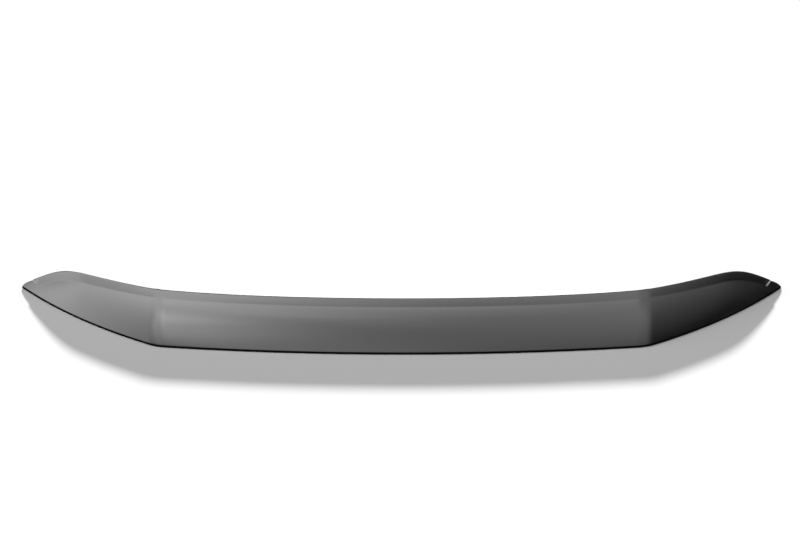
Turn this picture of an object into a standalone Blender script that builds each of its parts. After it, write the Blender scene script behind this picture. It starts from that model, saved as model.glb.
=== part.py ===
"""Hood bug deflector: one moulded sheet of smoked acrylic that wraps a hood's leading edge.

The sheet keeps nearly the same section all along. A short flat return lies along the
bottom, a small roll turns it up into the face, the face leans back in a long arc, and a
crease kicks the top up into a lip with a softly rounded edge. In plan it follows the hood: a
shallow middle arc, a sharp bend on each side, and an end wing that sweeps back to a pointed
tip. On the wing the crease turns further, and towards the tip the face leans back more and
the lip stops in a small slanting step.

Metres. X runs across the vehicle, -Y is forward and +Z is up. The origin is the middle of
the flat underside of the return, on the plane that the deflector stands on.
"""

import math

import bmesh
import bpy

OVERALL_WIDTH = 1.500
THICKNESS = 0.003

# Plan view, from the middle outwards
MIDDLE_RADIUS = 3.417
MIDDLE_HALF_SPAN = 0.4444
BEND_RADIUS = 0.080
BEND_ANGLE = math.radians(25.1)
WING_RADIUS = 1.090

# Section, from the return upwards
RETURN_DEPTH = 0.012
ROLL_RADIUS = 0.0035
FACE_FOOT_TILT = math.radians(30.0)
FACE_RADIUS = 0.183
CREASE_WIDTH = 0.002
CREASE_TURN = math.radians(8.5)
WING_CREASE_TURN = math.radians(16.0)
WING_TURN_RUN = 0.220
LIP_RADIUS = 0.170
LIP_WIDTH = 0.0191
END_LIP_WIDTH = 0.0166
LIP_EDGE_WIDTH = 0.003
LIP_EDGE_RADIUS = 0.010

# Height of the sheet, measured up its surface from the foot of the face
MIDDLE_HEIGHT = 0.1091
BEND_HEIGHT = 0.1133
BEND_RISE_POWER = 4.5
SHOULDER_HEIGHT = 0.0840
TIP_HEIGHT = 0.0017

# The end cut runs from the shoulder down to the tip
END_CUT_RUN = 0.0862
SHOULDER_SOFTNESS = 0.0194
LIP_END_RUN = 0.0360
LIP_END_SLANT = 0.0140
LIP_END_STEP = 0.002
LIP_END_RISE = 0.0007
RETURN_RUN_OUT = 0.060

# Further lean of the face's foot towards the tip
TIP_LEAN = math.radians(11.0)
TIP_LEAN_RUN = 0.140

# The tip's rounded end
TIP_NOSE_RUN = 0.0140
TIP_HEEL_RUN = 0.003
TIP_HEEL_RISE = 0.0025
TIP_END_HEIGHT = 0.0017

# Rounded edges of the sheet
RIM_BULGE = 0.0012

# Fineness of the mesh: steps along the sheet and round its section
MIDDLE_STEPS = 8
BEND_STEPS = 6
WING_STEPS = 7
CUT_STEPS = 12
TIP_STEPS = 18
SECTION_STEPS = (1, 5, 6, 3, 3, 2)
RIM_STEPS = 4

TIP_X = OVERALL_WIDTH / 2
SHOULDER_X = TIP_X - END_CUT_RUN
LIP_END_X = TIP_X - LIP_END_RUN


def clamp(value, low=0.0, high=1.0):
    return min(max(value, low), high)


def ease(share):
    """0 to 1, level at both ends."""
    share = clamp(share)
    return share * share * (3.0 - 2.0 * share)


def round_over(distance, run):
    """0 to 1 over a run, level at its start and upright at its end, like a quarter circle."""
    share = clamp(distance / run)
    return 1.0 - math.sqrt(1.0 - share * share)


def bend_end_x():
    start = math.asin(MIDDLE_HALF_SPAN / MIDDLE_RADIUS)
    return MIDDLE_HALF_SPAN + BEND_RADIUS * (math.sin(start + BEND_ANGLE) - math.sin(start))


def plan_setback(x):
    """How far back the sheet has swept at x: three arcs, each tangent to the one before."""
    bend_x = bend_end_x()
    arcs = ((MIDDLE_RADIUS, MIDDLE_HALF_SPAN), (BEND_RADIUS, bend_x), (WING_RADIUS, x))
    setback = 0.0
    heading = 0.0
    start_x = 0.0
    for radius, end_x in arcs:
        reach = min(end_x, x) - start_x
        if reach <= 0.0:
            break
        end_heading = math.asin(math.sin(heading) + reach / radius)
        setback += radius * (math.cos(heading) - math.cos(end_heading))
        heading = end_heading
        start_x = end_x
    return setback


def foot_tilt(x):
    """How far the foot of the face leans back at x: a little more towards the tip."""
    return FACE_FOOT_TILT + TIP_LEAN * ease((x - (TIP_X - TIP_LEAN_RUN)) / TIP_LEAN_RUN)


def roll_length(x):
    return ROLL_RADIUS * (math.pi / 2 + foot_tilt(x))


def sheet_height(x):
    """Height up the surface to the top edge: level over the middle, falling along the wing,
    and falling fast along the end cut, with a soft shoulder between the two. Where the lip
    ends it rises a little, so that the edge runs on in line past the step."""
    bend_x = (MIDDLE_HALF_SPAN + bend_end_x()) / 2
    if x <= bend_x:
        return MIDDLE_HEIGHT + (BEND_HEIGHT - MIDDLE_HEIGHT) * (x / bend_x) ** BEND_RISE_POWER
    wing_slope = (BEND_HEIGHT - SHOULDER_HEIGHT) / (SHOULDER_X - bend_x)
    cut_slope = (SHOULDER_HEIGHT - TIP_HEIGHT) / END_CUT_RUN
    past_shoulder = SHOULDER_SOFTNESS * math.log1p(math.exp((x - SHOULDER_X) / SHOULDER_SOFTNESS))
    rise = LIP_END_RISE * ease((x - LIP_END_X - LIP_END_SLANT) / LIP_END_STEP)
    return BEND_HEIGHT - wing_slope * (x - bend_x) - (cut_slope - wing_slope) * past_shoulder + rise


def edges(x):
    """The sheet's two edges at x, as distances up its surface from the foot of the face."""
    run_out = clamp((TIP_X - TIP_HEEL_RUN - x) / RETURN_RUN_OUT)
    heel = TIP_HEEL_RISE * round_over(x - (TIP_X - TIP_HEEL_RUN), TIP_HEEL_RUN)
    low = -roll_length(x) - RETURN_DEPTH * run_out + heel
    tip_top = -roll_length(TIP_X) + TIP_HEEL_RISE + TIP_END_HEIGHT
    nose_drop = sheet_height(TIP_X) - tip_top
    high = sheet_height(x) - nose_drop * round_over(x - (TIP_X - TIP_NOSE_RUN), TIP_NOSE_RUN)
    return low, high


def crease_height(x):
    """The crease keeps the lip's width below the top edge, a little less along the end cut."""
    past = 1.0 / (1.0 + math.exp(-(x - SHOULDER_X) / SHOULDER_SOFTNESS))
    return edges(x)[1] - LIP_WIDTH - (END_LIP_WIDTH - LIP_WIDTH) * past


def crease_turn(x):
    """How far the crease turns the sheet at x: more and more along the wing."""
    return CREASE_TURN + (WING_CREASE_TURN - CREASE_TURN) * ease((x - MIDDLE_HALF_SPAN) / WING_TURN_RUN)


def section_breaks(x):
    """Where the section's stretches meet: return, roll, face, crease, lip and its edge. Past
    the end of the lip the whole section shrinks towards the tip in the same shares."""
    low, high = edges(x)
    if x > LIP_END_X:
        full = section_breaks(LIP_END_X)
        share = (high - low) / (full[-1] - full[0])
        return [low + (value - full[0]) * share for value in full]
    crease = crease_height(x)
    return [low, -roll_length(x), 0.0, crease - CREASE_WIDTH / 2, crease + CREASE_WIDTH / 2,
            high - LIP_EDGE_WIDTH, high]


def section_walk(x, height, turn):
    """Point and heading a distance up the outer skin at x, where the crease has this turn."""
    roll = roll_length(x)
    if height <= -roll:
        return -(height + roll), 0.0, math.pi
    crease_low, crease_high, lip_high = section_breaks(x)[3:6]
    stretches = (
        (0.0, -1.0 / ROLL_RADIUS),
        (crease_low, -1.0 / FACE_RADIUS),
        (crease_high, turn / (crease_high - crease_low)),
        (lip_high, -1.0 / LIP_RADIUS),
        (math.inf, -1.0 / LIP_EDGE_RADIUS),
    )
    y = 0.0
    z = 0.0
    heading = math.pi
    start = -roll
    for end, curvature in stretches:
        length = min(end, height) - start
        if length <= 0.0:
            continue
        next_heading = heading + curvature * length
        if curvature:
            y += (math.sin(next_heading) - math.sin(heading)) / curvature
            z += (math.cos(heading) - math.cos(next_heading)) / curvature
        else:
            y += length * math.cos(heading)
            z += length * math.sin(heading)
        heading = next_heading
        start = min(end, height)
    return y, z, heading


def section_point(x, height):
    """Point and heading on the outer skin at x. The lip ends in a slanting step, past which
    the skin runs on without a crease."""
    with_lip = section_walk(x, height, crease_turn(x))
    slant = LIP_END_SLANT * clamp((height - section_breaks(x)[3]) / END_LIP_WIDTH)
    share = ease((x - LIP_END_X - slant) / LIP_END_STEP)
    if share == 0.0:
        return with_lip
    without_lip = section_walk(x, height, 0.0)
    return tuple(first + (second - first) * share for first, second in zip(with_lip, without_lip))


def rim(y, z, heading, ahead):
    """The rounded edge of the sheet, from its outer skin to its inner skin."""
    outward = (-math.sin(heading), math.cos(heading))
    along = (ahead * math.cos(heading), ahead * math.sin(heading))
    middle = (y - outward[0] * THICKNESS / 2, z - outward[1] * THICKNESS / 2)
    points = []
    for step in range(RIM_STEPS + 1):
        turn = math.pi * step / RIM_STEPS
        out = math.cos(turn) * THICKNESS / 2
        forth = math.sin(turn) * RIM_BULGE
        points.append((middle[0] + outward[0] * out + along[0] * forth,
                       middle[1] + outward[1] * out + along[1] * forth))
    return points


def section_loop(x):
    """The closed section at x: up the outer skin, over the top rim, down the inner skin and
    round the return's rim."""
    breaks = section_breaks(x)
    heights = [breaks[0]]
    for low, high, steps in zip(breaks, breaks[1:], SECTION_STEPS):
        heights += [low + (high - low) * step / steps for step in range(1, steps + 1)]
    skin = [section_point(x, height) for height in heights]
    outer = [(y, z) for y, z, heading in skin[1:-1]]
    inner = [(y + math.sin(heading) * THICKNESS, z - math.cos(heading) * THICKNESS)
             for y, z, heading in skin[1:-1]]
    top_rim = rim(*skin[-1], ahead=1.0)
    return_rim = rim(*skin[0], ahead=-1.0)
    return outer + top_rim + inner[::-1] + return_rim[::-1]


def stations():
    """Places along the sheet, from the middle to the tip, close together where it turns."""
    bend_x = bend_end_x()
    cut_start_x = SHOULDER_X - 2 * SHOULDER_SOFTNESS
    spans = (
        (0.0, MIDDLE_HALF_SPAN, MIDDLE_STEPS),
        (MIDDLE_HALF_SPAN, bend_x, BEND_STEPS),
        (bend_x, cut_start_x, WING_STEPS),
        (cut_start_x, LIP_END_X, CUT_STEPS),
    )
    places = [0.0]
    for start, end, steps in spans:
        places += [start + (end - start) * step / steps for step in range(1, steps + 1)]
    for step in range(1, TIP_STEPS + 1):
        places.append(LIP_END_X + LIP_END_RUN * math.sin(math.pi / 2 * step / TIP_STEPS))
    return places


def acrylic():
    material = bpy.data.materials.new("smoked_acrylic")
    material.use_nodes = True
    shader = material.node_tree.nodes["Principled BSDF"]
    shader.inputs["Base Color"].default_value = (0.035, 0.036, 0.038, 1.0)
    shader.inputs["Roughness"].default_value = 0.18
    shader.inputs["Metallic"].default_value = 0.0
    return material


def make_shield():
    """Half of the sheet is lofted through its sections and mirrored across the middle."""
    mesh = bpy.data.meshes.new("shield")
    half = bmesh.new()
    loops = []
    for x in stations():
        setback = plan_setback(x) - RETURN_DEPTH / 2
        loops.append([half.verts.new((x, setback + y, z)) for y, z in section_loop(x)])
    for inboard, outboard in zip(loops, loops[1:]):
        count = len(inboard)
        for index in range(count):
            after = (index + 1) % count
            half.faces.new((inboard[index], outboard[index], outboard[after], inboard[after]))
    half.faces.new(loops[-1])
    bmesh.ops.recalc_face_normals(half, faces=half.faces)
    half.to_mesh(mesh)
    half.free()

    shield = bpy.data.objects.new("shield", mesh)
    bpy.context.collection.objects.link(shield)
    mesh.materials.append(acrylic())
    mesh.shade_smooth()
    mirror = shield.modifiers.new("other_half", "MIRROR")
    mirror.merge_threshold = 0.0001
    return shield


for leftover in list(bpy.data.objects):
    bpy.data.objects.remove(leftover)

make_shield()
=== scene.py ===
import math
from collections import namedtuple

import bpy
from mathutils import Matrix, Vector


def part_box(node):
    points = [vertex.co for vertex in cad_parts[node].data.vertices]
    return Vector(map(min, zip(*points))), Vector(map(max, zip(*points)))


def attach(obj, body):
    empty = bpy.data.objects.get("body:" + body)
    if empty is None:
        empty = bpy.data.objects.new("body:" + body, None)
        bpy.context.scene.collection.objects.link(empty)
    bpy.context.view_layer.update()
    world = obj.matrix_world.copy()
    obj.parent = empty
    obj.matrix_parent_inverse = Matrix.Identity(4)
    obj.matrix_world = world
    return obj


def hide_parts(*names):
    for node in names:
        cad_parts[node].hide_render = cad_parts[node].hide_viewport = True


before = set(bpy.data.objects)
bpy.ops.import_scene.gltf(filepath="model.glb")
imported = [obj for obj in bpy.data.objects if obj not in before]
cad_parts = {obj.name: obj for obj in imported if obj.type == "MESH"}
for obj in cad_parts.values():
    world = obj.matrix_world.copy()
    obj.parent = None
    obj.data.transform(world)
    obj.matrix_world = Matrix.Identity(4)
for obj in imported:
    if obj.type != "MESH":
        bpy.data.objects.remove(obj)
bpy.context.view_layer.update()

# Looks of a hood bug deflector: one moulded sheet of smoked acrylic on a pale studio floor. It is
# gloss on both faces, with a matte hem along the bottom and a satin rim along the top edge.
# Metres; -Y is forward, +Z is up, the origin is the middle of the underside.

cad_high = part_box("shield")[1]

# Driving sizes, the same as the solid's
TIP_X = cad_high.x
THICKNESS = 0.003

# Plan view, from the middle outwards
MIDDLE_RADIUS = 3.417
MIDDLE_HALF_SPAN = 0.4444
BEND_RADIUS = 0.080
BEND_ANGLE = math.radians(25.1)
WING_RADIUS = 1.090

# Section, from the return upwards
RETURN_DEPTH = 0.012
ROLL_RADIUS = 0.0035
FACE_FOOT_TILT = math.radians(30.0)
FACE_RADIUS = 0.183
CREASE_WIDTH = 0.002
CREASE_TURN = math.radians(8.5)
WING_CREASE_TURN = math.radians(16.0)
WING_TURN_RUN = 0.220
LIP_RADIUS = 0.170
LIP_WIDTH = 0.0191
END_LIP_WIDTH = 0.0166
LIP_EDGE_WIDTH = 0.003
LIP_EDGE_RADIUS = 0.010

# Height of the sheet, measured up its surface from the foot of the face
MIDDLE_HEIGHT = 0.1091
BEND_HEIGHT = 0.1133
BEND_RISE_POWER = 4.5
SHOULDER_HEIGHT = 0.0840
TIP_HEIGHT = 0.0017

# The end cut runs from the shoulder down to the tip
END_CUT_RUN = 0.0862
SHOULDER_SOFTNESS = 0.0194
LIP_END_RUN = 0.0360
LIP_END_SLANT = 0.0140
LIP_END_STEP = 0.002
LIP_END_RISE = 0.0007
RETURN_RUN_OUT = 0.060

# Further lean of the face's foot towards the tip
TIP_LEAN = math.radians(11.0)
TIP_LEAN_RUN = 0.140

# The tip's rounded end
TIP_NOSE_RUN = 0.0140
TIP_HEEL_RUN = 0.003
TIP_HEEL_RISE = 0.0025
TIP_END_HEIGHT = 0.0017

# Rounded edges of the sheet
RIM_BULGE = 0.0012

SHOULDER_X = TIP_X - END_CUT_RUN
LIP_END_X = TIP_X - LIP_END_RUN

# Fineness of the visible mesh: steps along the sheet and round its section
MIDDLE_STEPS = 48
BEND_STEPS = 20
WING_STEPS = 30
CUT_STEPS = 44
TIP_STEPS = 90
SECTION_STEPS = (3, 14, 22, 8, 8, 4)
RIM_STEPS = 8

# Finishes, in the order of the sheet's material slots
GLOSS, HEM, RIM = range(3)

# Smoked acrylic, nearly black in itself: its tones are reflections
DARKEST_GLOSS = (0.003, 0.003, 0.0032, 1.0)
PALEST_GLOSS = (0.0045, 0.0045, 0.0047, 1.0)
DULL_SMOKE = (0.008, 0.008, 0.0085, 1.0)
GLOSS_INDEX = 1.755
RIM_INDEX = 1.7
RIM_SPECULAR = 0.8
COAT_ROUGHNESS = 0.12
ROUGHNESS_DETAIL = 4.0

# Camera, in pixels of the 800 by 533 frame and in metres. The aim point lands on the aim column
# and row of the frame.
FRAME_WIDTH = 800
FRAME_HEIGHT = 533
FOCAL_PIXELS = 2406.5
CAMERA_DISTANCE = 4.5
CAMERA_ELEVATION = math.radians(27.0)
CAMERA_REACH = 100.0
AIM_POINT = Vector((0.0, -0.00795, 0.0))
AIM_COLUMN = 401.7
AIM_ROW = 354.7
SENSOR_WIDTH = 36.0

# Studio: flat soft boxes around the object, placed and sized by the angles, in degrees, under
# which it sees them. Azimuth 0 is in front of it and 90 at +X. Each edge fades over the softness
# times the half size, inside the edge and again outside it. Brightness is in the middle of a box,
# and across and upward are its relative change from there to the edge on the side of greater
# azimuth and to the top edge.
SoftBox = namedtuple("SoftBox", "azimuth elevation half_width half_height softness "
                                "brightness across upward")
SOFT_BOXES = (
    # In front, above the camera
    SoftBox(azimuth=3, elevation=53, half_width=22, half_height=27, softness=0.3,
            brightness=0.39, across=-0.7, upward=-0.2),
    # Between the front and the right, without clear edges
    SoftBox(azimuth=32, elevation=57, half_width=18, half_height=30, softness=1.0,
            brightness=0.29, across=1.0, upward=-0.3),
    # On the right, dim
    SoftBox(azimuth=82, elevation=42, half_width=24, half_height=31, softness=0.45,
            brightness=0.2, across=0.7, upward=0.9),
    # Between the front and the left
    SoftBox(azimuth=-43, elevation=38, half_width=15, half_height=20, softness=0.7,
            brightness=0.83, across=-0.1, upward=0.5),
    # On the left, tall and reaching down to the floor
    SoftBox(azimuth=-81, elevation=8, half_width=25, half_height=60, softness=0.45,
            brightness=0.92, across=-0.8, upward=0.3),
    # High on the left
    SoftBox(azimuth=-66, elevation=60, half_width=15, half_height=10, softness=0.55,
            brightness=0.53, across=1.0, upward=1.0),
    # Higher on the left, a wide strip
    SoftBox(azimuth=-53, elevation=72, half_width=26, half_height=7, softness=1.0,
            brightness=0.37, across=-1.0, upward=1.0),
    # Overhead
    SoftBox(azimuth=7, elevation=86, half_width=17, half_height=13, softness=0.3,
            brightness=0.69, across=-0.6, upward=1.0),
    # Behind, a low and wide pale backdrop
    SoftBox(azimuth=180, elevation=0, half_width=60, half_height=8, softness=0.6,
            brightness=0.95, across=0.0, upward=0.0),
)
ROOM_LIGHT = 0.005
LEAST_DEPTH = 0.001
BACK_LAMP_ELEVATION = math.radians(20.5)
BACK_LAMP_STRENGTH = 5.85
BACK_LAMP_SOFTNESS = math.radians(4.8)
FLOOR_SIZE = 60.0
FLOOR_GREY = 0.93
FLOOR_ROUGHNESS = 0.9


def clamp(value, low=0.0, high=1.0):
    return min(max(value, low), high)


def ease(share):
    """0 to 1, level at both ends."""
    share = clamp(share)
    return share * share * (3.0 - 2.0 * share)


def round_over(distance, run):
    """0 to 1 over a run, level at its start and upright at its end, like a quarter circle."""
    share = clamp(distance / run)
    return 1.0 - math.sqrt(1.0 - share * share)


def bend_end_x():
    start = math.asin(MIDDLE_HALF_SPAN / MIDDLE_RADIUS)
    return MIDDLE_HALF_SPAN + BEND_RADIUS * (math.sin(start + BEND_ANGLE) - math.sin(start))


def plan_setback(x):
    """How far back the sheet has swept at x: three arcs, each tangent to the one before."""
    bend_x = bend_end_x()
    arcs = ((MIDDLE_RADIUS, MIDDLE_HALF_SPAN), (BEND_RADIUS, bend_x), (WING_RADIUS, x))
    setback = 0.0
    heading = 0.0
    start_x = 0.0
    for radius, end_x in arcs:
        reach = min(end_x, x) - start_x
        if reach <= 0.0:
            break
        end_heading = math.asin(math.sin(heading) + reach / radius)
        setback += radius * (math.cos(heading) - math.cos(end_heading))
        heading = end_heading
        start_x = end_x
    return setback


def foot_tilt(x):
    """How far the foot of the face leans back at x: a little more towards the tip."""
    return FACE_FOOT_TILT + TIP_LEAN * ease((x - (TIP_X - TIP_LEAN_RUN)) / TIP_LEAN_RUN)


def roll_length(x):
    return ROLL_RADIUS * (math.pi / 2 + foot_tilt(x))


def sheet_height(x):
    """Height up the surface to the top edge: nearly level over the middle, rising to the bend,
    falling along the wing, and falling fast along the end cut, with a soft shoulder between the
    two. Where the lip ends it rises a little, so that the edge runs on in line past the step."""
    bend_x = (MIDDLE_HALF_SPAN + bend_end_x()) / 2
    if x <= bend_x:
        return MIDDLE_HEIGHT + (BEND_HEIGHT - MIDDLE_HEIGHT) * (x / bend_x) ** BEND_RISE_POWER
    wing_slope = (BEND_HEIGHT - SHOULDER_HEIGHT) / (SHOULDER_X - bend_x)
    cut_slope = (SHOULDER_HEIGHT - TIP_HEIGHT) / END_CUT_RUN
    past_shoulder = SHOULDER_SOFTNESS * math.log1p(math.exp((x - SHOULDER_X) / SHOULDER_SOFTNESS))
    rise = LIP_END_RISE * ease((x - LIP_END_X - LIP_END_SLANT) / LIP_END_STEP)
    return BEND_HEIGHT - wing_slope * (x - bend_x) - (cut_slope - wing_slope) * past_shoulder + rise


def edges(x):
    """The sheet's two edges at x, as distances up its surface from the foot of the face."""
    run_out = clamp((TIP_X - TIP_HEEL_RUN - x) / RETURN_RUN_OUT)
    heel = TIP_HEEL_RISE * round_over(x - (TIP_X - TIP_HEEL_RUN), TIP_HEEL_RUN)
    low = -roll_length(x) - RETURN_DEPTH * run_out + heel
    tip_top = -roll_length(TIP_X) + TIP_HEEL_RISE + TIP_END_HEIGHT
    nose_drop = sheet_height(TIP_X) - tip_top
    high = sheet_height(x) - nose_drop * round_over(x - (TIP_X - TIP_NOSE_RUN), TIP_NOSE_RUN)
    return low, high


def crease_height(x):
    """The crease keeps the lip's width below the top edge, a little less along the end cut."""
    past = 1.0 / (1.0 + math.exp(-(x - SHOULDER_X) / SHOULDER_SOFTNESS))
    return edges(x)[1] - LIP_WIDTH - (END_LIP_WIDTH - LIP_WIDTH) * past


def crease_turn(x):
    """How far the crease turns the sheet at x: more and more along the wing."""
    share = ease((x - MIDDLE_HALF_SPAN) / WING_TURN_RUN)
    return CREASE_TURN + (WING_CREASE_TURN - CREASE_TURN) * share


def section_breaks(x):
    """Where the section's stretches meet: return, roll, face, crease, lip and its edge. Past
    the end of the lip the whole section shrinks towards the tip in the same shares."""
    low, high = edges(x)
    if x > LIP_END_X:
        full = section_breaks(LIP_END_X)
        share = (high - low) / (full[-1] - full[0])
        return [low + (value - full[0]) * share for value in full]
    crease = crease_height(x)
    return [low, -roll_length(x), 0.0, crease - CREASE_WIDTH / 2, crease + CREASE_WIDTH / 2,
            high - LIP_EDGE_WIDTH, high]


def section_walk(x, height, turn):
    """Point and heading a distance up the outer skin at x, where the crease has this turn."""
    roll = roll_length(x)
    if height <= -roll:
        return -(height + roll), 0.0, math.pi
    crease_low, crease_high, lip_high = section_breaks(x)[3:6]
    stretches = (
        (0.0, -1.0 / ROLL_RADIUS),
        (crease_low, -1.0 / FACE_RADIUS),
        (crease_high, turn / (crease_high - crease_low)),
        (lip_high, -1.0 / LIP_RADIUS),
        (math.inf, -1.0 / LIP_EDGE_RADIUS),
    )
    y = 0.0
    z = 0.0
    heading = math.pi
    start = -roll
    for end, curvature in stretches:
        length = min(end, height) - start
        if length <= 0.0:
            continue
        next_heading = heading + curvature * length
        if curvature:
            y += (math.sin(next_heading) - math.sin(heading)) / curvature
            z += (math.cos(heading) - math.cos(next_heading)) / curvature
        else:
            y += length * math.cos(heading)
            z += length * math.sin(heading)
        heading = next_heading
        start = min(end, height)
    return y, z, heading


def section_point(x, height):
    """Point and heading on the outer skin at x. The lip ends in a slanting step, past which
    the skin runs on without a crease."""
    with_lip = section_walk(x, height, crease_turn(x))
    slant = LIP_END_SLANT * clamp((height - section_breaks(x)[3]) / END_LIP_WIDTH)
    share = ease((x - LIP_END_X - slant) / LIP_END_STEP)
    if share == 0.0:
        return with_lip
    without_lip = section_walk(x, height, 0.0)
    return tuple(first + (second - first) * share for first, second in zip(with_lip, without_lip))


def rim(y, z, heading, ahead):
    """The rounded edge of the sheet, from its outer skin to its inner skin."""
    outward = (-math.sin(heading), math.cos(heading))
    along = (ahead * math.cos(heading), ahead * math.sin(heading))
    middle = (y - outward[0] * THICKNESS / 2, z - outward[1] * THICKNESS / 2)
    points = []
    for step in range(RIM_STEPS + 1):
        turn = math.pi * step / RIM_STEPS
        out = math.cos(turn) * THICKNESS / 2
        forth = math.sin(turn) * RIM_BULGE
        points.append((middle[0] + outward[0] * out + along[0] * forth,
                       middle[1] + outward[1] * out + along[1] * forth))
    return points


def section_loop(x):
    """The closed section at x: up the outer skin, over the top rim, down the inner skin and
    round the return's rim."""
    breaks = section_breaks(x)
    heights = [breaks[0]]
    for low, high, steps in zip(breaks, breaks[1:], SECTION_STEPS):
        heights += [low + (high - low) * step / steps for step in range(1, steps + 1)]
    skin = [section_point(x, height) for height in heights]
    outer = [(y, z) for y, z, heading in skin[1:-1]]
    inner = [(y + math.sin(heading) * THICKNESS, z - math.cos(heading) * THICKNESS)
             for y, z, heading in skin[1:-1]]
    top_rim = rim(*skin[-1], ahead=1.0)
    return_rim = rim(*skin[0], ahead=-1.0)
    return outer + top_rim + inner[::-1] + return_rim[::-1]


def stations():
    """Places along half of the sheet, from the middle to the tip, close where it turns."""
    bend_x = bend_end_x()
    cut_start_x = SHOULDER_X - 2 * SHOULDER_SOFTNESS
    spans = (
        (0.0, MIDDLE_HALF_SPAN, MIDDLE_STEPS),
        (MIDDLE_HALF_SPAN, bend_x, BEND_STEPS),
        (bend_x, cut_start_x, WING_STEPS),
        (cut_start_x, LIP_END_X, CUT_STEPS),
    )
    places = [0.0]
    for start, end, steps in spans:
        places += [start + (end - start) * step / steps for step in range(1, steps + 1)]
    for step in range(1, TIP_STEPS + 1):
        places.append(LIP_END_X + LIP_END_RUN * math.sin(math.pi / 2 * step / TIP_STEPS))
    return places


def shader_material(name):
    """A new material and its shader."""
    material = bpy.data.materials.new(name)
    material.use_nodes = True
    return material, material.node_tree.nodes["Principled BSDF"]


def noise(tree, scale, detail):
    """Noise from 0 to 1, fixed to the object."""
    texture = tree.nodes.new("ShaderNodeTexNoise")
    texture.inputs["Scale"].default_value = scale
    texture.inputs["Detail"].default_value = detail
    coordinates = tree.nodes.new("ShaderNodeTexCoord")
    tree.links.new(coordinates.outputs["Object"], texture.inputs["Vector"])
    return texture.outputs["Fac"]


def vary_roughness(tree, shader, scale, low, high):
    """Roughness that wanders between two values."""
    span = tree.nodes.new("ShaderNodeMapRange")
    span.inputs["To Min"].default_value = low
    span.inputs["To Max"].default_value = high
    tree.links.new(noise(tree, scale, ROUGHNESS_DETAIL), span.inputs["Value"])
    tree.links.new(span.outputs["Result"], shader.inputs["Roughness"])


def add_relief(tree, shader, scale, detail, strength, depth):
    """A fine relief on the surface."""
    bump = tree.nodes.new("ShaderNodeBump")
    bump.inputs["Strength"].default_value = strength
    bump.inputs["Distance"].default_value = depth
    tree.links.new(noise(tree, scale, detail), bump.inputs["Height"])
    tree.links.new(bump.outputs["Normal"], shader.inputs["Normal"])


def smoked_gloss():
    """Both faces of the sheet, polished: a soft sheen under a clear coat, and the faint ripple
    that a moulded sheet keeps."""
    material, shader = shader_material("smoked_acrylic_gloss")
    tree = material.node_tree
    vary_roughness(tree, shader, scale=9.0, low=0.17, high=0.23)
    add_relief(tree, shader, scale=160.0, detail=2.0, strength=0.02, depth=0.001)
    tint = tree.nodes.new("ShaderNodeValToRGB")
    tint.color_ramp.elements[0].color = DARKEST_GLOSS
    tint.color_ramp.elements[1].color = PALEST_GLOSS
    tree.links.new(noise(tree, scale=4.0, detail=3.0), tint.inputs["Fac"])
    tree.links.new(tint.outputs["Color"], shader.inputs["Base Color"])
    shader.inputs["IOR"].default_value = GLOSS_INDEX
    shader.inputs["Specular IOR Level"].default_value = 1.0
    shader.inputs["Coat IOR"].default_value = GLOSS_INDEX
    shader.inputs["Coat Weight"].default_value = 1.0
    shader.inputs["Coat Roughness"].default_value = COAT_ROUGHNESS
    return material


def smoked_rim():
    """The rounded top edge, left satin by the trimming."""
    material, shader = shader_material("smoked_acrylic_rim")
    vary_roughness(material.node_tree, shader, scale=60.0, low=0.42, high=0.54)
    shader.inputs["Base Color"].default_value = DULL_SMOKE
    shader.inputs["IOR"].default_value = RIM_INDEX
    shader.inputs["Specular IOR Level"].default_value = RIM_SPECULAR
    return material


def smoked_hem():
    """The roll and the return, left matte."""
    material, shader = shader_material("smoked_acrylic_hem")
    tree = material.node_tree
    vary_roughness(tree, shader, scale=60.0, low=0.5, high=0.62)
    add_relief(tree, shader, scale=900.0, detail=3.0, strength=0.15, depth=0.0002)
    shader.inputs["Base Color"].default_value = DULL_SMOKE
    shader.inputs["Specular IOR Level"].default_value = 0.0
    return material


def finish_at(row, center):
    """The finish of a face, from its row round the section and its center."""
    # The rows round a section start with the outer skin, and the top rim comes next
    rim_start = sum(SECTION_STEPS) - 1
    if rim_start <= row < rim_start + RIM_STEPS:
        return RIM
    roll_top = ROLL_RADIUS * (1.0 + math.sin(foot_tilt(abs(center.x))))
    return HEM if center.z < roll_top else GLOSS


def loft(places):
    """Vertices and faces through the closed sections at these places, with capped ends."""
    vertices = []
    for x in places:
        setback = plan_setback(abs(x)) - RETURN_DEPTH / 2
        vertices += [(x, setback + y, z) for y, z in section_loop(abs(x))]
    count = len(vertices) // len(places)
    last = len(vertices) - count
    faces = []
    for start in range(0, last, count):
        for row in range(count):
            after = (row + 1) % count
            faces.append((start + row, start + count + row, start + count + after, start + after))
    faces.append(tuple(range(count)))
    faces.append(tuple(range(last + count - 1, last - 1, -1)))
    return vertices, faces


def make_sheet():
    """The whole sheet, lofted from the left tip to the right tip."""
    half = stations()
    places = [-x for x in half[:0:-1]] + half
    vertices, faces = loft(places)
    mesh = bpy.data.meshes.new("sheet")
    mesh.from_pydata(vertices, [], faces)
    for material in (smoked_gloss(), smoked_hem(), smoked_rim()):
        mesh.materials.append(material)
    count = len(vertices) // len(places)
    for index, polygon in enumerate(mesh.polygons):
        polygon.material_index = finish_at(index % count, polygon.center)
        polygon.use_smooth = True
    sheet = bpy.data.objects.new("sheet", mesh)
    bpy.context.collection.objects.link(sheet)
    return sheet


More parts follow.
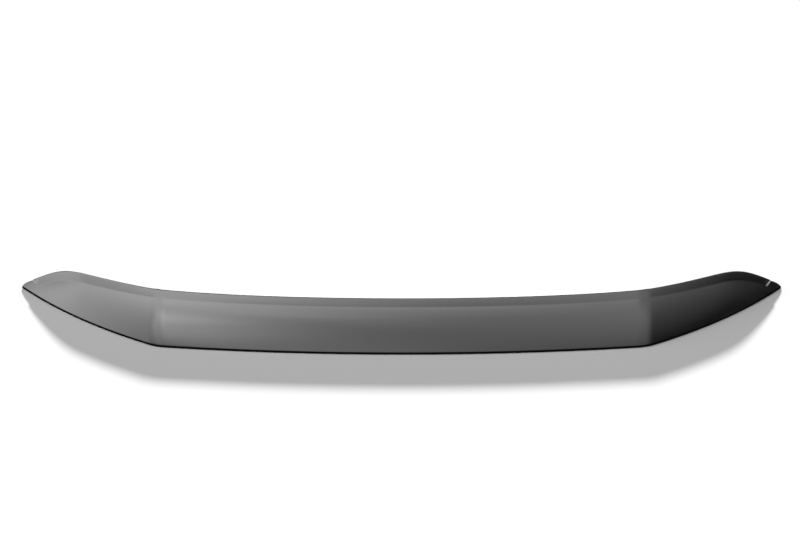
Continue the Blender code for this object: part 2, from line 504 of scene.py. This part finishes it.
def make_floor():
    """A wide pale floor, quite matte."""
    half = FLOOR_SIZE / 2
    corners = [(-half, -half, 0.0), (half, -half, 0.0), (half, half, 0.0), (-half, half, 0.0)]
    mesh = bpy.data.meshes.new("floor")
    mesh.from_pydata(corners, [], [(0, 1, 2, 3)])
    material, shader = shader_material("pale_floor")
    shader.inputs["Base Color"].default_value = (FLOOR_GREY, FLOOR_GREY, FLOOR_GREY, 1.0)
    shader.inputs["Roughness"].default_value = FLOOR_ROUGHNESS
    shader.inputs["Specular IOR Level"].default_value = 0.0
    mesh.materials.append(material)
    floor = bpy.data.objects.new("floor", mesh)
    bpy.context.collection.objects.link(floor)


def direction(azimuth, elevation):
    """Unit vector towards a place around the object; azimuth 0 is in front of it."""
    return Vector((math.sin(azimuth) * math.cos(elevation),
                   -math.cos(azimuth) * math.cos(elevation),
                   math.sin(elevation)))


def dot_node(tree, ray, axis):
    node = tree.nodes.new("ShaderNodeVectorMath")
    node.operation = "DOT_PRODUCT"
    node.inputs[1].default_value = axis
    tree.links.new(ray, node.inputs[0])
    return node.outputs["Value"]


def math_node(tree, operation, first, second):
    node = tree.nodes.new("ShaderNodeMath")
    node.operation = operation
    for socket, value in zip(node.inputs, (first, second)):
        if isinstance(value, (int, float)):
            socket.default_value = value
        else:
            tree.links.new(value, socket)
    return node.outputs[0]


def edge_fade(tree, place, softness):
    """1 inside the box and 0 outside, where place runs from -1 to 1 between its edges."""
    fade = tree.nodes.new("ShaderNodeMapRange")
    fade.interpolation_type = "SMOOTHSTEP"
    fade.inputs["From Min"].default_value = 1.0 + softness
    fade.inputs["From Max"].default_value = 1.0 - softness
    tree.links.new(math_node(tree, "ABSOLUTE", place, 0.0), fade.inputs["Value"])
    return fade.outputs["Result"]


def box_light(tree, ray, box):
    """Brightness of one soft box along a ray."""
    azimuth = math.radians(box.azimuth)
    ahead = direction(azimuth, math.radians(box.elevation))
    side = direction(azimuth + math.pi / 2, 0.0)
    # With the least depth, rays that run sideways or away come out far beside the box
    depth = math_node(tree, "MAXIMUM", dot_node(tree, ray, ahead), LEAST_DEPTH)
    light = box.brightness
    spans = ((side, box.half_width, box.across), (ahead.cross(side), box.half_height, box.upward))
    for axis, half_size, change in spans:
        reach = math_node(tree, "DIVIDE", dot_node(tree, ray, axis), depth)
        place = math_node(tree, "DIVIDE", reach, math.tan(math.radians(half_size)))
        level = math_node(tree, "ADD", math_node(tree, "MULTIPLY", place, change), 1.0)
        light = math_node(tree, "MULTIPLY", math_node(tree, "MAXIMUM", level, 0.0), light)
        light = math_node(tree, "MULTIPLY", edge_fade(tree, place, box.softness), light)
    return light


def make_world():
    """A dark room with the soft boxes in it."""
    world = bpy.data.worlds.new("studio")
    bpy.context.scene.world = world
    world.use_nodes = True
    tree = world.node_tree
    ray = tree.nodes.new("ShaderNodeTexCoord").outputs["Generated"]
    total = ROOM_LIGHT
    for box in SOFT_BOXES:
        total = math_node(tree, "ADD", box_light(tree, ray, box), total)
    tree.links.new(total, tree.nodes["Background"].inputs["Color"])


def make_back_lamp():
    """A low lamp behind the object, which casts its shadow to the front."""
    lamp = bpy.data.lights.new("back_lamp", "SUN")
    lamp.energy = BACK_LAMP_STRENGTH
    lamp.angle = BACK_LAMP_SOFTNESS
    back_lamp = bpy.data.objects.new("back_lamp", lamp)
    shine = -direction(math.pi, BACK_LAMP_ELEVATION)
    back_lamp.rotation_mode = "QUATERNION"
    back_lamp.rotation_quaternion = shine.to_track_quat("-Z", "Y")
    bpy.context.collection.objects.link(back_lamp)


def make_camera():
    """The camera looks down from the front, turned so that the aim point lands on its column
    and row."""
    camera = bpy.data.cameras.new("camera")
    camera.sensor_width = SENSOR_WIDTH
    camera.lens = SENSOR_WIDTH * FOCAL_PIXELS / FRAME_WIDTH
    camera.clip_end = CAMERA_REACH
    viewer = bpy.data.objects.new("camera", camera)
    viewer.location = AIM_POINT + CAMERA_DISTANCE * direction(0.0, CAMERA_ELEVATION)
    below_axis = math.atan((AIM_ROW - FRAME_HEIGHT / 2) / FOCAL_PIXELS)
    beside_axis = math.atan((AIM_COLUMN - FRAME_WIDTH / 2) / FOCAL_PIXELS)
    viewer.rotation_euler = (math.pi / 2 - CAMERA_ELEVATION + below_axis, 0.0, beside_axis)
    bpy.context.collection.objects.link(viewer)
    bpy.context.scene.camera = viewer


sheet = make_sheet()
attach(sheet, "root")
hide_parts("shield")
make_floor()
make_world()
make_back_lamp()
make_camera()
bpy.context.scene.view_settings.view_transform = "Standard"
